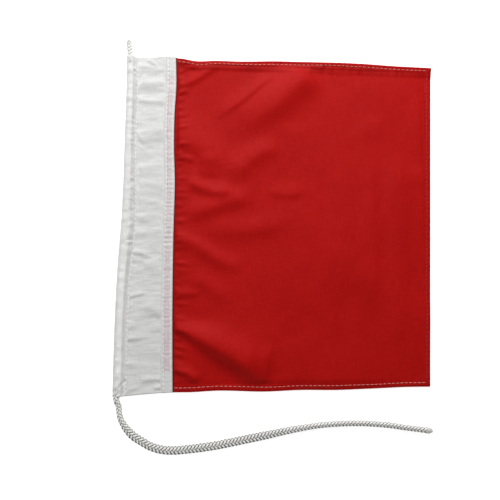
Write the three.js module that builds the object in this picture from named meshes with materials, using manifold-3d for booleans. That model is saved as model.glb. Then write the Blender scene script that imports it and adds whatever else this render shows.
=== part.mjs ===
// Small red signal flag with a roped canvas heading, laid flat on a surface.
// Millimetres, +X from the heading towards the fly edge, +Y up the hoist, +Z up.
// The heading's back and the turned hems of the cloth rest on z = 0. Pieces are worked out from
// the heading's lower corner by the red cloth, and the whole is then moved so that the origin
// is under the middle of the flag and its sleeved rope.
import * as THREE from 'three';
import { mergeVertices } from 'three/addons/utils/BufferGeometryUtils.js';
import Module from 'manifold-3d';

const wasm = await Module();
wasm.setup();

// Driving dimensions
const hoistHeight = 300;        // flag height along the rope
const flyWidth = 234;           // red cloth, from the heading's edge to the fly edge
const headingWidth = 48;        // canvas heading, from the rope's outer side to the red cloth
const clearance = 0.3;          // gap between pieces that lie on each other
const canvasThickness = 0.6;
const clothThickness = 0.6;
const hemWidth = 5;             // cloth turned under along three edges
const tuckWidth = 8;            // red cloth held between the two layers of canvas
const ropeDiameter = 5.4;
const sleeveWidth = 11.6;       // from the rope's outer side to the row of stitches beside it
const rampLength = 1.6;         // where the front canvas steps up over the tucked cloth
const stubLength = 16;          // rope standing out above the heading
const ropeExit = 3;             // rope standing out below the heading before its free end
const tailStraight = 4;         // the free end runs straight on this far before it bends
const whippingLength = 4;
const whippingThickness = 0.5;
const threadWidth = 0.7;
const threadHeight = 0.4;
const stitchInset = 4;          // from a row's end to the edge of the cloth
const seamInset = 1.3;          // from the seam rows to the edges that they hold
const hemRowInset = 3.4;        // from the hem rows to the edge of the cloth
const endRowInset = 6;          // rows across the turned ends of the heading
const tackLength = 2.4;         // bar tacks that hold the rope in its sleeve

// Heights of the layers, from the surface up
const tuckBottom = canvasThickness + clearance;
const tuckTop = tuckBottom + clothThickness;
const headingTop = tuckTop + clearance + canvasThickness;
const bareTop = 2 * canvasThickness + clearance;
const panelTop = tuckTop;

// The rope lies in a round sleeve at the heading's outer side
const ropeRadius = ropeDiameter / 2;
const sleeveRadius = ropeRadius + clearance + canvasThickness;
const ropeX = -headingWidth + sleeveRadius;
const ropeZ = sleeveRadius;
const sleeveRowX = -headingWidth + sleeveWidth;

// The free rope's middle line on the surface, from below the heading to its end
const tailRest = ropeRadius + 0.1;
const tailDrop = (ropeZ + tailRest) / 2;
const tailEnd = ropeRadius + clearance + whippingThickness + 0.1;
const tailRise = (tailRest + tailEnd) / 2;
const tailRoute = [
  [-44.2, -11, tailDrop], [-43.6, -15.5, tailRest], [-42.5, -21, tailRest],
  [-39.8, -26.6, tailRest], [-35.8, -32.2, tailRest], [-30.5, -37.2, tailRest], [-24.2, -41.2, tailRest],
  [-16.6, -44.6, tailRest], [-7.6, -47.2, tailRest], [2.5, -48.5, tailRest],
  [13, -48.4, tailRest], [25, -47.2, tailRest], [39.6, -45.2, tailRest],
  [53.8, -42.6, tailRest], [68.1, -39.8, tailRest], [82.4, -37.1, tailRest],
  [96.8, -34.2, tailRest], [111.5, -31.6, tailRest], [126.8, -29.4, tailRest],
  [142.8, -28.1, tailRest], [158.8, -27.7, tailRest], [174.9, -28.2, tailRest],
  [190.9, -29.6, tailRest], [206.8, -31.9, tailRise], [217, -33.2, tailEnd],
  [229, -34.7, tailEnd],
];

const flag = new THREE.Group();
flag.position.set(
  (headingWidth - flyWidth) / 2, (ropeExit - hoistHeight - stubLength) / 2, 0);

function finish(color, roughness) {
  return new THREE.MeshStandardMaterial({ color, roughness, metalness: 0 });
}

function addMesh(name, geometry, material) {
  const mesh = new THREE.Mesh(geometry, material);
  mesh.name = name;
  flag.add(mesh);
  return mesh;
}

function box(x0, x1, y0, y1, z0, z1) {
  const geometry = new THREE.BoxGeometry(x1 - x0, y1 - y0, z1 - z0);
  geometry.translate((x0 + x1) / 2, (y0 + y1) / 2, (z0 + z1) / 2);
  return geometry;
}

function toSolid(geometry) {
  const bare = geometry.clone();
  bare.deleteAttribute('normal');
  bare.deleteAttribute('uv');
  const merged = mergeVertices(bare, 1e-5);
  return new wasm.Manifold(new wasm.Mesh({
    numProp: 3,
    vertProperties: new Float32Array(merged.attributes.position.array),
    triVerts: new Uint32Array(merged.index.array),
  }));
}

function joined(geometries) {
  const solid = geometries.map(toSolid).reduce((all, next) => all.add(next));
  const mesh = solid.getMesh();
  const geometry = new THREE.BufferGeometry();
  geometry.setAttribute('position', new THREE.BufferAttribute(mesh.vertProperties, 3));
  geometry.setIndex(new THREE.BufferAttribute(mesh.triVerts, 1));
  return geometry;
}

// A cylinder along Y, either solid or a ring with the given bore
function alongY(outer, bore, y0, y1) {
  const inside = bore > 0 ? bore : 0;
  const profile = [[inside, y0], [outer, y0], [outer, y1], [inside, y1]];
  if (bore > 0) profile.push([inside, y0]);
  const geometry = new THREE.LatheGeometry(profile.map(([r, y]) => new THREE.Vector2(r, y)), 32);
  geometry.translate(ropeX, 0, ropeZ);
  return geometry;
}

// Points of a strip of even thickness whose middle line is given
function stripOutline(middle, thickness) {
  const side = (sign) => middle.map((point, i) => {
    const before = middle[Math.max(i - 1, 0)];
    const after = middle[Math.min(i + 1, middle.length - 1)];
    const into = new THREE.Vector2().subVectors(i > 0 ? point : after, i > 0 ? before : point);
    const out = new THREE.Vector2().subVectors(
      i < middle.length - 1 ? after : point, i < middle.length - 1 ? point : before);
    into.normalize();
    out.normalize();
    const normal = new THREE.Vector2(-into.y - out.y, into.x + out.x).normalize();
    const reach = sign * thickness / 2 / (normal.x * -into.y + normal.y * into.x);
    return new THREE.Vector2().copy(point).addScaledVector(normal, reach);
  });
  return [...side(1), ...side(-1).reverse()];
}

// The canvas strip: back layer, round the rope, and the front layer back to the red cloth
function headingSection() {
  const half = canvasThickness / 2;
  const sleeveMiddle = sleeveRadius - half;
  const frontZ = bareTop - half;
  const centre = new THREE.Vector2(ropeX, ropeZ);
  const foot = new THREE.Vector2(sleeveRowX, frontZ);
  const away = new THREE.Vector2().subVectors(foot, centre);
  const endAngle = away.angle() + Math.acos(sleeveMiddle / away.length());
  const startAngle = 1.5 * Math.PI;
  const turn = startAngle - (endAngle - 2 * Math.PI * (endAngle > startAngle ? 1 : 0));
  const steps = 28;
  const middle = [new THREE.Vector2(0, half)];
  for (let i = 0; i <= steps; i += 1) {
    const angle = startAngle - turn * i / steps;
    middle.push(new THREE.Vector2(
      centre.x + sleeveMiddle * Math.cos(angle), centre.y + sleeveMiddle * Math.sin(angle)));
  }
  middle.push(foot);
  middle.push(new THREE.Vector2(-tuckWidth - clearance - rampLength, frontZ));
  middle.push(new THREE.Vector2(-tuckWidth - clearance, headingTop - half));
  middle.push(new THREE.Vector2(0, headingTop - half));
  return new THREE.Shape(stripOutline(middle, canvasThickness));
}

// A section in X and Z carried along the hoist
function alongHoist(shape) {
  const geometry = new THREE.ExtrudeGeometry(shape, {
    depth: hoistHeight, bevelEnabled: false, steps: 1, curveSegments: 1,
  });
  geometry.rotateX(Math.PI / 2);
  geometry.translate(0, hoistHeight, 0);
  return geometry;
}

// Red cloth with three edges turned under, as one folded sheet
function flyPanel() {
  const x0 = clearance;
  const x1 = flyWidth;
  const wall = clothThickness;
  return joined([
    box(x0, x1, 0, hoistHeight, tuckBottom, panelTop),
    box(x0, x1, 0, hemWidth, 0, clothThickness),
    box(x0, x1, hoistHeight - hemWidth, hoistHeight, 0, clothThickness),
    box(x1 - hemWidth, x1, 0, hoistHeight, 0, clothThickness),
    box(x0, x1, 0, wall, 0, panelTop),
    box(x0, x1, hoistHeight - wall, hoistHeight, 0, panelTop),
    box(x1 - wall, x1, 0, hoistHeight, 0, panelTop),
  ]);
}

// A round bar along a smooth curve through the route
function roundAlong(points, radius, sides, steps) {
  const section = new THREE.Shape();
  for (let i = 0; i < sides; i += 1) {
    const angle = 2 * Math.PI * i / sides;
    const x = radius * Math.cos(angle);
    const y = radius * Math.sin(angle);
    if (i === 0) section.moveTo(x, y);
    else section.lineTo(x, y);
  }
  section.closePath();
  const path = new THREE.CatmullRomCurve3(
    points.map(([x, y, z]) => new THREE.Vector3(x, y, z)), false, 'centripetal');
  return new THREE.ExtrudeGeometry(section, { steps, extrudePath: path, bevelEnabled: false });
}

const canvasFinish = finish(0xdad9d4, 0.9);
const clothFinish = finish(0xa81712, 0.75);
const ropeFinish = finish(0xd6d5cc, 0.8);
const canvasThread = finish(0xe6e5e0, 0.7);
const hemThread = finish(0xc98a80, 0.7);
const whippingThread = finish(0xc9c6ba, 0.7);

// Hoist: canvas, the red cloth's tucked edge, and the rope in its sleeve
addMesh('heading', alongHoist(headingSection()), canvasFinish);
addMesh('fly_tuck', box(-tuckWidth, 0, 0, hoistHeight, tuckBottom, tuckTop), clothFinish);
addMesh('hoist_rope', alongY(ropeRadius, 0, -ropeExit, hoistHeight + stubLength), ropeFinish);
addMesh('top_whipping', alongY(
  ropeRadius + clearance + whippingThickness, ropeRadius + clearance,
  hoistHeight + stubLength - whippingLength, hoistHeight + stubLength - clearance), whippingThread);

// Fly: the red cloth beyond the seam
addMesh('fly_panel', flyPanel(), clothFinish);

// Free end of the rope
const tailStart = -ropeExit - clearance;
const tailPoints = [
  [ropeX, tailStart, ropeZ], [ropeX, tailStart - tailStraight, ropeZ], ...tailRoute];
addMesh('rope_tail', roundAlong(tailPoints, ropeRadius, 10, 64), ropeFinish);

// Thread wound round the rope's end, in line with the last stretch of the route
function tailWhipping() {
  const end = new THREE.Vector3(...tailRoute[tailRoute.length - 1]);
  const before = new THREE.Vector3(...tailRoute[tailRoute.length - 2]);
  const direction = new THREE.Vector3().subVectors(end, before).normalize();
  const outer = ropeRadius + clearance + whippingThickness;
  const bore = ropeRadius + clearance;
  const profile = [[bore, 0], [outer, 0], [outer, whippingLength], [bore, whippingLength], [bore, 0]];
  const geometry = new THREE.LatheGeometry(profile.map(([r, y]) => new THREE.Vector2(r, y)), 32);
  geometry.applyQuaternion(
    new THREE.Quaternion().setFromUnitVectors(new THREE.Vector3(0, -1, 0), direction));
  geometry.translate(...end.addScaledVector(direction, -clearance).toArray());
  return geometry;
}
addMesh('tail_whipping', tailWhipping(), whippingThread);

// Rows of stitches lie on the front, each a single thread
function rowAlongHoist(x, z, inset) {
  return box(x - threadWidth / 2, x + threadWidth / 2, inset, hoistHeight - inset,
    z + clearance, z + clearance + threadHeight);
}
function rowAcross(x0, x1, y, z) {
  return box(x0, x1, y - threadWidth / 2, y + threadWidth / 2,
    z + clearance, z + clearance + threadHeight);
}
const sleeveRow = sleeveRowX + 2 * threadWidth;
addMesh('sleeve_stitching', rowAlongHoist(sleeveRow, bareTop, stitchInset), canvasThread);
addMesh('tuck_stitching', rowAlongHoist(-tuckWidth + seamInset, headingTop, stitchInset), canvasThread);
addMesh('seam_stitching', rowAlongHoist(-seamInset, headingTop, stitchInset), canvasThread);

const endRowStart = sleeveRow + 2 * threadWidth;
const endRowEnd = -tuckWidth - clearance - rampLength - threadWidth;
addMesh('heading_top_stitching', rowAcross(
  endRowStart, endRowEnd, hoistHeight - endRowInset, bareTop), canvasThread);
addMesh('heading_bottom_stitching', rowAcross(
  endRowStart, endRowEnd, endRowInset, bareTop), canvasThread);

const flyRowX = flyWidth - hemRowInset;
const hemRowEnd = flyRowX - 2 * threadWidth;
addMesh('top_hem_stitching', rowAcross(
  stitchInset, hemRowEnd, hoistHeight - hemRowInset, panelTop), hemThread);
addMesh('bottom_hem_stitching', rowAcross(stitchInset, hemRowEnd, hemRowInset, panelTop), hemThread);
addMesh('fly_hem_stitching', rowAlongHoist(flyRowX, panelTop, stitchInset), hemThread);

// Bar tacks beside the sleeve's two mouths stop the rope from being pulled through
function tack(y) {
  const x = ropeX + sleeveRadius * Math.SQRT1_2;
  const z = ropeZ + sleeveRadius * Math.SQRT1_2;
  const geometry = box(-threadWidth, threadWidth, -tackLength / 2, tackLength / 2, 0, threadHeight);
  geometry.rotateY(Math.PI / 4);
  geometry.translate(x + clearance * Math.SQRT1_2, y, z + clearance * Math.SQRT1_2);
  return geometry;
}
addMesh('top_rope_tack', tack(hoistHeight - endRowInset), canvasThread);
addMesh('bottom_rope_tack', tack(endRowInset), canvasThread);

export default flag;
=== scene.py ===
"""A small red signal flag with a roped canvas heading, laid flat on a pale surface.

Shapes are worked out in millimetres and turned to metres as each mesh is made. Flag
coordinates start at the heading's lower corner by the red cloth: x runs towards the fly
edge, y up the hoist, and z up from the surface that the flag lies on.
"""

import bpy
import numpy as np
from mathutils import Matrix, Vector


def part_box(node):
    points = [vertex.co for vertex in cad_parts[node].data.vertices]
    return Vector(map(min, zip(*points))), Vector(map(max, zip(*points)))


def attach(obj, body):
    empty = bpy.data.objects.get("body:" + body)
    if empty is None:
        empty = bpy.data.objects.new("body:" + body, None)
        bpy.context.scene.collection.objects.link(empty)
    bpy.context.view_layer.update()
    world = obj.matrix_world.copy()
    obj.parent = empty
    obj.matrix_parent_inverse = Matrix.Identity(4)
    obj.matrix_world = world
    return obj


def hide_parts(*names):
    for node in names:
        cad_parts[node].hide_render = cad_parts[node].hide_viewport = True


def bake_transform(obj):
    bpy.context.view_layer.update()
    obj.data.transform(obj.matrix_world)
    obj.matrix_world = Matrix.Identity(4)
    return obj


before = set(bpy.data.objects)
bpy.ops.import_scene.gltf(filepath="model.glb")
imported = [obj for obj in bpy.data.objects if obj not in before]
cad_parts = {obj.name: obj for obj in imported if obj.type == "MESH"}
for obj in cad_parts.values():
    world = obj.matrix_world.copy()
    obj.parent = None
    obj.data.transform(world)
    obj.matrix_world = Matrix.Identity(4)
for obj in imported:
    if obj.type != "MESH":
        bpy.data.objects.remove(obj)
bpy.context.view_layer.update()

MM = 0.001

# Sizes that the frame gives, in millimetres
HEADING_LOW, HEADING_HIGH = (np.array(corner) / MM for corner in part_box("heading"))
START = np.array([HEADING_HIGH[0], HEADING_LOW[1], 0.0])
HOIST = HEADING_HIGH[1] - HEADING_LOW[1]
HEADING = HEADING_HIGH[0] - HEADING_LOW[0]
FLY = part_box("fly_panel")[1][0] / MM - START[0]
TUCK = START[0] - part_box("fly_tuck")[0][0] / MM
ROPE_LOW, ROPE_HIGH = (np.array(corner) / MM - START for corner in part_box("hoist_rope"))
ROPE_RADIUS = (ROPE_HIGH[2] - ROPE_LOW[2]) / 2
ROPE_X = (ROPE_HIGH[0] + ROPE_LOW[0]) / 2
ROPE_Z = (ROPE_HIGH[2] + ROPE_LOW[2]) / 2
SLEEVE_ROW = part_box("sleeve_stitching")[0][0] / MM - START[0]
HEM_ROW = HOIST - (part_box("top_hem_stitching")[0][1] / MM - START[1])

# Thicknesses and layers of the cloth
CANVAS = 0.55
CLOTH = 0.34
HEM_WIDTH = 5.0
END_FOLD = 17.0          # the heading's ends are turned in this far
IN_SEAM = 1.25           # the red cloth's height between the canvas layers
STITCH_PITCH = 4.0
TOP_ROW_SHIFT = 0.8      # the upper hem is stitched this much nearer to its edge

# The rope's ends
ROPE_ABOVE = 14.2        # it stands out this far above the heading
ROPE_BELOW = 3.6         # its free part begins this far below the heading
TIP_RADIUS = 1.5         # at its sealed ends

# The free rope's middle line on the surface, in metres in flag coordinates
TAIL_REST = 0.0028
TAIL_ROUTE = [
    (-0.0442, -0.0110, 0.0032), (-0.0436, -0.0155, TAIL_REST), (-0.0425, -0.0210, TAIL_REST),
    (-0.0398, -0.0266, TAIL_REST), (-0.0358, -0.0322, TAIL_REST), (-0.0305, -0.0372, TAIL_REST),
    (-0.0242, -0.0412, TAIL_REST), (-0.0169, -0.0453, TAIL_REST), (-0.0079, -0.0482, TAIL_REST),
    (0.0025, -0.0491, TAIL_REST), (0.0130, -0.0484, TAIL_REST), (0.0250, -0.0472, TAIL_REST),
    (0.0396, -0.0452, TAIL_REST), (0.0538, -0.0426, TAIL_REST), (0.0681, -0.0398, TAIL_REST),
    (0.0824, -0.0371, TAIL_REST), (0.0968, -0.0342, TAIL_REST), (0.1115, -0.0316, TAIL_REST),
    (0.1268, -0.0294, TAIL_REST), (0.1428, -0.0281, TAIL_REST), (0.1588, -0.0277, TAIL_REST),
    (0.1749, -0.0282, TAIL_REST), (0.1909, -0.0296, TAIL_REST), (0.2068, -0.0319, 0.0032),
    (0.2170, -0.0332, 0.0036), (0.2290, -0.0347, 0.0036),
]


# ---------------------------------------------------------------- curves and grids

def through(t, stations, values):
    """A smooth curve through values at rising stations: cubic pieces whose slope at each
    station is taken from its neighbours."""
    stations, values = np.asarray(stations, float), np.asarray(values, float)
    slopes = np.gradient(values, stations)
    t = np.clip(t, stations[0], stations[-1])
    i = np.clip(np.searchsorted(stations, t, side="right") - 1, 0, len(stations) - 2)
    span = stations[i + 1] - stations[i]
    s = (t - stations[i]) / span
    rise = (1 - s) ** 2 * (1 + 2 * s) * values[i] + s ** 2 * (3 - 2 * s) * values[i + 1]
    return rise + span * s * (1 - s) * ((1 - s) * slopes[i] - s * slopes[i + 1])


def ease(t):
    """0 below 0, 1 above 1, and a smooth step between."""
    t = np.clip(t, 0.0, 1.0)
    return t * t * (3 - 2 * t)


def unit(vectors):
    """The same vectors, each 1 long."""
    return vectors / np.linalg.norm(vectors, axis=-1, keepdims=True)


def distance_along(line):
    """How far each point of a line is from its start, along the line."""
    return np.r_[0, np.cumsum(np.linalg.norm(np.diff(line, axis=0), axis=1))]


def even_steps(low, high, step):
    """Evenly spaced numbers from low to high, about step apart."""
    return np.linspace(low, high, int(round((high - low) / step)) + 1)


def smooth_line(points, count):
    """Points evenly spaced by length on a smooth curve through the given points."""
    points = np.asarray(points, float)
    chord = distance_along(points)
    fine = np.linspace(0, chord[-1], 12 * len(points))
    line = np.stack([through(fine, chord, column) for column in points.T], -1)
    length = distance_along(line)
    even = np.linspace(0, length[-1], count)
    return np.stack([np.interp(even, length, column) for column in line.T], -1)


def soft_noise(x, y, cell_x, cell_y, seed):
    """Smooth random heights from -1 to 1: random values on a lattice of the given cells,
    eased from one lattice point to the next."""
    side = 96
    lattice = np.random.default_rng(seed).uniform(-1, 1, (side, side))
    u, v = x / cell_x + side / 3, y / cell_y + side / 3
    i, j = np.floor(u).astype(int), np.floor(v).astype(int)
    a, b = ease(u - i), ease(v - j)
    near = lattice[i % side, j % side] * (1 - a) + lattice[(i + 1) % side, j % side] * a
    far = lattice[i % side, (j + 1) % side] * (1 - a) + lattice[(i + 1) % side, (j + 1) % side] * a
    return near * (1 - b) + far * b


def fold(x, y, points, height, left, right, start, end, narrow=1.0):
    """One fold: a rounded crest along a smooth line. At a distance d from the line it stands
    height * exp(-(d / width)^2), where width is left or right by the side of the line, and
    it fades in over the first share and out over the last share of the line. Its height and
    width grow from `narrow` times their full size along the first half of the line."""
    line = smooth_line(points, 18)
    a, step = line[:-1], np.diff(line, axis=0)
    place = np.stack([x.ravel(), y.ravel()], -1)
    best = np.full(len(place), np.inf)
    along, side = np.zeros(len(place)), np.zeros(len(place))
    for k in range(len(step)):
        away = place - a[k]
        t = np.clip(away @ step[k] / (step[k] @ step[k]), 0, 1)
        gap = away - t[:, None] * step[k]
        distance = (gap ** 2).sum(1)
        nearer = distance < best
        best[nearer] = distance[nearer]
        along[nearer] = (k + t[nearer]) / len(step)
        side[nearer] = (step[k, 0] * away[nearer, 1] - step[k, 1] * away[nearer, 0])
    size = narrow + (1 - narrow) * ease(along / 0.5)
    width = np.where(side > 0, left, right) * size
    fade = ease(along / start) * ease((1 - along) / end)
    return (height * size * np.exp(-best / width ** 2) * fade).reshape(x.shape)


def surface_normals(grid):
    """Unit normals of a grid of points, from the cross product of its two directions."""
    return unit(np.cross(np.gradient(grid, axis=0), np.gradient(grid, axis=1)))


def grid_faces(index, close=False):
    """Four-sided faces between neighbouring rows and columns of a grid of point numbers."""
    if close:
        index = np.concatenate([index, index[:, :1]], axis=1)
    corners = [index[:-1, :-1], index[1:, :-1], index[1:, 1:], index[:-1, 1:]]
    return np.stack(corners, -1).reshape(-1, 4)


def closed_sheet(middle, thickness):
    """A sheet of cloth: the grid is moved half the thickness along its normals to both sides,
    and the two skins are joined round the border."""
    half = surface_normals(middle) * np.asarray(thickness)[..., None] / 2
    rows, columns = middle.shape[:2]
    front = np.arange(rows * columns).reshape(rows, columns)
    back = front + rows * columns
    points = np.concatenate([(middle + half).reshape(-1, 3), (middle - half).reshape(-1, 3)])
    faces = [grid_faces(front), grid_faces(back)[:, ::-1]]
    for edge, other in ((front[:, 0], back[:, 0]), (back[:, -1], front[:, -1]),
                        (back[0], front[0]), (front[-1], back[-1])):
        faces.append(np.stack([edge[:-1], other[:-1], other[1:], edge[1:]], -1))
    return points, [np.concatenate(faces)]


def both_skins(u, v):
    """Where each point of a closed sheet lies on the cut cloth, in metres, on both its skins."""
    return np.tile(np.stack([u, v, 0 * v], -1).reshape(-1, 3) * MM, (2, 1))


def path_frames(path):
    """Directions along a path that lies nearly level: ahead, sideways and up."""
    ahead = unit(np.gradient(path, axis=0))
    aside = unit(np.cross([0, 0, 1.0], ahead))
    return ahead, aside, np.cross(ahead, aside)


def round_angles(sides):
    """Angles evenly spaced round one turn."""
    return np.linspace(0, 2 * np.pi, sides + 1)[:-1]


def oval(turn, aside, up):
    """Offsets round an oval section: cos(turn) * aside + sin(turn) * up."""
    return np.cos(turn)[None, :, None] * aside + np.sin(turn)[None, :, None] * up


def closed_tube(rings):
    """A tube through rings of points, closed by a point in the middle of each end."""
    count, sides = rings.shape[:2]
    index = np.arange(count * sides).reshape(count, sides)
    first, last = count * sides, count * sides + 1
    points = np.concatenate([rings.reshape(-1, 3), rings[:1].mean(1), rings[-1:].mean(1)])
    around = np.roll(index, -1, axis=1)
    caps = [np.stack([np.full(sides, first), around[0], index[0]], -1),
            np.stack([np.full(sides, last), index[-1], around[-1]], -1)]
    return points, [grid_faces(index, close=True)[:, ::-1], np.concatenate(caps)]


def gather(parts):
    """Several lots of points and faces as one."""
    points, quads, triangles, start = [], [], [], 0
    for part_points, part_faces in parts:
        points.append(part_points)
        quads.append(part_faces[0] + start)
        if len(part_faces) > 1:
            triangles.append(part_faces[1] + start)
        start += len(part_points)
    faces = [np.concatenate(quads)]
    if triangles:
        faces.append(np.concatenate(triangles))
    return np.concatenate(points), faces


def make_piece(name, shape, finish, attributes=None):
    """A mesh object from points in flag coordinates and faces, with its finish and any
    numbers that its material reads from each point."""
    points, faces = shape
    mesh = bpy.data.meshes.new(name)
    mesh.vertices.add(len(points))
    mesh.vertices.foreach_set("co", ((points + START) * MM).astype(np.float32).ravel())
    sizes = np.concatenate([np.full(len(lot), lot.shape[1]) for lot in faces])
    mesh.loops.add(int(sizes.sum()))
    mesh.loops.foreach_set(
        "vertex_index", np.concatenate([lot.ravel() for lot in faces]).astype(np.int32))
    mesh.polygons.add(len(sizes))
    starts = np.concatenate([[0], np.cumsum(sizes)[:-1]]).astype(np.int32)
    mesh.polygons.foreach_set("loop_start", starts)
    mesh.polygons.foreach_set("use_smooth", np.ones(len(sizes), bool))
    mesh.update(calc_edges=True)
    for label, values in (attributes or {}).items():
        values = np.asarray(values, np.float32)
        kind, field = ("FLOAT", "value") if values.ndim == 1 else ("FLOAT_VECTOR", "vector")
        mesh.attributes.new(label, kind, "POINT").data.foreach_set(field, values.ravel())
    mesh.materials.append(finish)
    piece = bpy.data.objects.new(name, mesh)
    bpy.context.collection.objects.link(piece)
    return piece


# ---------------------------------------------------------------- materials

class Nodes:
    """Short calls for building one material's nodes."""

    def __init__(self, name, colour, roughness):
        self.material = bpy.data.materials.new(name)
        self.material.use_nodes = True
        self.material.diffuse_color = (*colour, 1)
        self.tree = self.material.node_tree
        self.shader = self.tree.nodes["Principled BSDF"]
        self.shader.inputs["Base Color"].default_value = (*colour, 1)
        self.shader.inputs["Roughness"].default_value = roughness
        self.shader.inputs["Specular IOR Level"].default_value = 0.3

    def add(self, kind, **inputs):
        node = self.tree.nodes.new(kind)
        for name, value in inputs.items():
            self.feed(node.inputs[name.replace("_", " ")], value)
        return node

    def feed(self, socket, value):
        if isinstance(value, bpy.types.NodeSocket):
            self.tree.links.new(value, socket)
        else:
            socket.default_value = value

    def attribute(self, name):
        node = self.add("ShaderNodeAttribute")
        node.attribute_name = name
        return node

    def math(self, operation, a, b=0.0):
        node = self.add("ShaderNodeMath")
        node.operation = operation
        self.feed(node.inputs[0], a)
        self.feed(node.inputs[1], b)
        return node.outputs[0]

    def noise(self, vector, scale, stretch=(1, 1, 1), detail=2.0, roughness=0.5):
        mapping = self.add("ShaderNodeMapping", Vector=vector)
        mapping.inputs["Scale"].default_value = stretch
        node = self.add("ShaderNodeTexNoise", Vector=mapping.outputs[0], Scale=scale)
        node.inputs["Detail"].default_value = detail
        node.inputs["Roughness"].default_value = roughness
        return node.outputs["Fac"]

    def span(self, value, low, high, to_low=0.0, to_high=1.0):
        node = self.add("ShaderNodeMapRange", Value=value)
        for name, number in (("From Min", low), ("From Max", high),
                             ("To Min", to_low), ("To Max", to_high)):
            node.inputs[name].default_value = number
        return node.outputs[0]

    def mix(self, share, a, b):
        node = self.add("ShaderNodeMix")
        node.data_type = "RGBA"
        self.feed(node.inputs[0], share)
        self.feed(node.inputs[6], a if isinstance(a, bpy.types.NodeSocket) else (*a, 1))
        self.feed(node.inputs[7], b if isinstance(b, bpy.types.NodeSocket) else (*b, 1))
        return node.outputs[2]

    def weave(self, vector, pitch):
        """Plain weave: the product of two sines, one across each set of threads."""
        parts = self.add("ShaderNodeSeparateXYZ", Vector=vector)
        turns = 2 * np.pi / pitch
        across = self.math("SINE", self.math("MULTIPLY", parts.outputs[0], turns))
        along = self.math("SINE", self.math("MULTIPLY", parts.outputs[1], turns))
        return self.math("MULTIPLY", across, along)

    def threads(self, vector, fine, long):
        """Uneven threads: noise drawn out along the warp, and its sum with the same for the
        weft."""
        warp = self.noise(vector, 1.0, (fine, long, 1), 3.0, 0.6)
        weft = self.noise(vector, 1.0, (long, fine, 1), 3.0, 0.6)
        return warp, self.math("ADD", self.span(warp, 0.3, 0.7, -0.5, 0.5),
                               self.span(weft, 0.3, 0.7, -0.5, 0.5))

    def plies(self, pitch):
        """Slanting plies of a twisted thread: the sine of pitch times the place along it plus
        the angle round it."""
        parts = self.add("ShaderNodeSeparateXYZ", Vector=self.attribute("cloth").outputs["Vector"])
        slant = self.math("ADD", self.math("MULTIPLY", parts.outputs[0], pitch),
                          self.math("MULTIPLY", parts.outputs[1], 2 * np.pi))
        return self.span(self.math("SINE", slant), -1.0, 1.0)

    def bump(self, height, distance, strength=1.0, under=None):
        node = self.add("ShaderNodeBump", Height=height, Distance=distance, Strength=strength)
        if under is not None:
            self.feed(node.inputs["Normal"], under)
        return node.outputs[0]

    def finish(self, colour=None, normal=None, roughness=None, sheen=0.0):
        if colour is not None:
            self.feed(self.shader.inputs["Base Color"], colour)
        if normal is not None:
            self.feed(self.shader.inputs["Normal"], normal)
        if roughness is not None:
            self.feed(self.shader.inputs["Roughness"], roughness)
        self.shader.inputs["Sheen Weight"].default_value = sheen
        self.shader.inputs["Sheen Roughness"].default_value = 0.5
        return self.material


def red_bunting():
    """Red woven polyester: plain weave, uneven threads both ways and faint clouding, with
    painted shade in the folds along the seam and under the upper hem."""
    n = Nodes("red bunting", (0.46, 0.007, 0.006), 0.5)
    n.shader.inputs["Specular IOR Level"].default_value = 0.08
    place = n.attribute("cloth").outputs["Vector"]
    _, threads = n.threads(place, 1700, 70)
    clouds = n.noise(place, 26, detail=3.0)
    shade = n.math("ADD", n.span(threads, -1.0, 1.0), n.span(clouds, 0.3, 0.7, -0.12, 0.12))
    colour = n.mix(shade, (0.375, 0.0018, 0.0014), (0.495, 0.0062, 0.0048))
    # painted shade: near-black red mixed in along the seam and under the upper hem
    colour = n.mix(n.attribute("painted_shade").outputs["Fac"], colour, (0.050, 0.0005, 0.0005))
    fine = n.bump(n.weave(place, 0.0007), 0.00006, 0.5)
    normal = n.bump(threads, 0.00010, 0.6, fine)
    return n.finish(colour, normal, n.span(threads, -1.0, 1.0, 0.44, 0.58))


def white_canvas():
    """White cotton canvas: weave, fine crumples and the red cloth showing through where it
    is tucked between the two layers, and the same pink as a painted shadow along the tucked
    edge high on the hoist; paler over the rope, where a painted highlight is laid on."""
    n = Nodes("white canvas", (0.78, 0.78, 0.755), 0.85)
    place = n.attribute("cloth").outputs["Vector"]
    red_through_and_painted_shadow = n.attribute("red_through_and_painted_shadow").outputs["Fac"]
    warp, threads = n.threads(place, 1500, 90)
    crumple = n.noise(place, 150, (1, 1.8, 1), 4.0, 0.62)
    base = n.mix(n.span(threads, -1.0, 1.0), (0.67, 0.67, 0.655), (0.745, 0.745, 0.73))
    # pink for the red showing through; the same pink also lays a painted shadow along the tucked edge
    seen_through_and_shadow_pink = n.mix(n.span(warp, 0.35, 0.65), (0.62, 0.50, 0.52), (0.73, 0.645, 0.66))
    colour = n.mix(red_through_and_painted_shadow, base, seen_through_and_shadow_pink)
    # painted highlight: the canvas over the rope is mixed towards a paler white
    colour = n.mix(n.attribute("painted_light").outputs["Fac"], colour, (0.90, 0.90, 0.885))
    fine = n.bump(n.weave(place, 0.0008), 0.00008, 0.5)
    soft = n.bump(crumple, 0.0009, 0.55, fine)
    return n.finish(colour, n.bump(threads, 0.00012, 0.5, soft), sheen=0.15)


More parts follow.
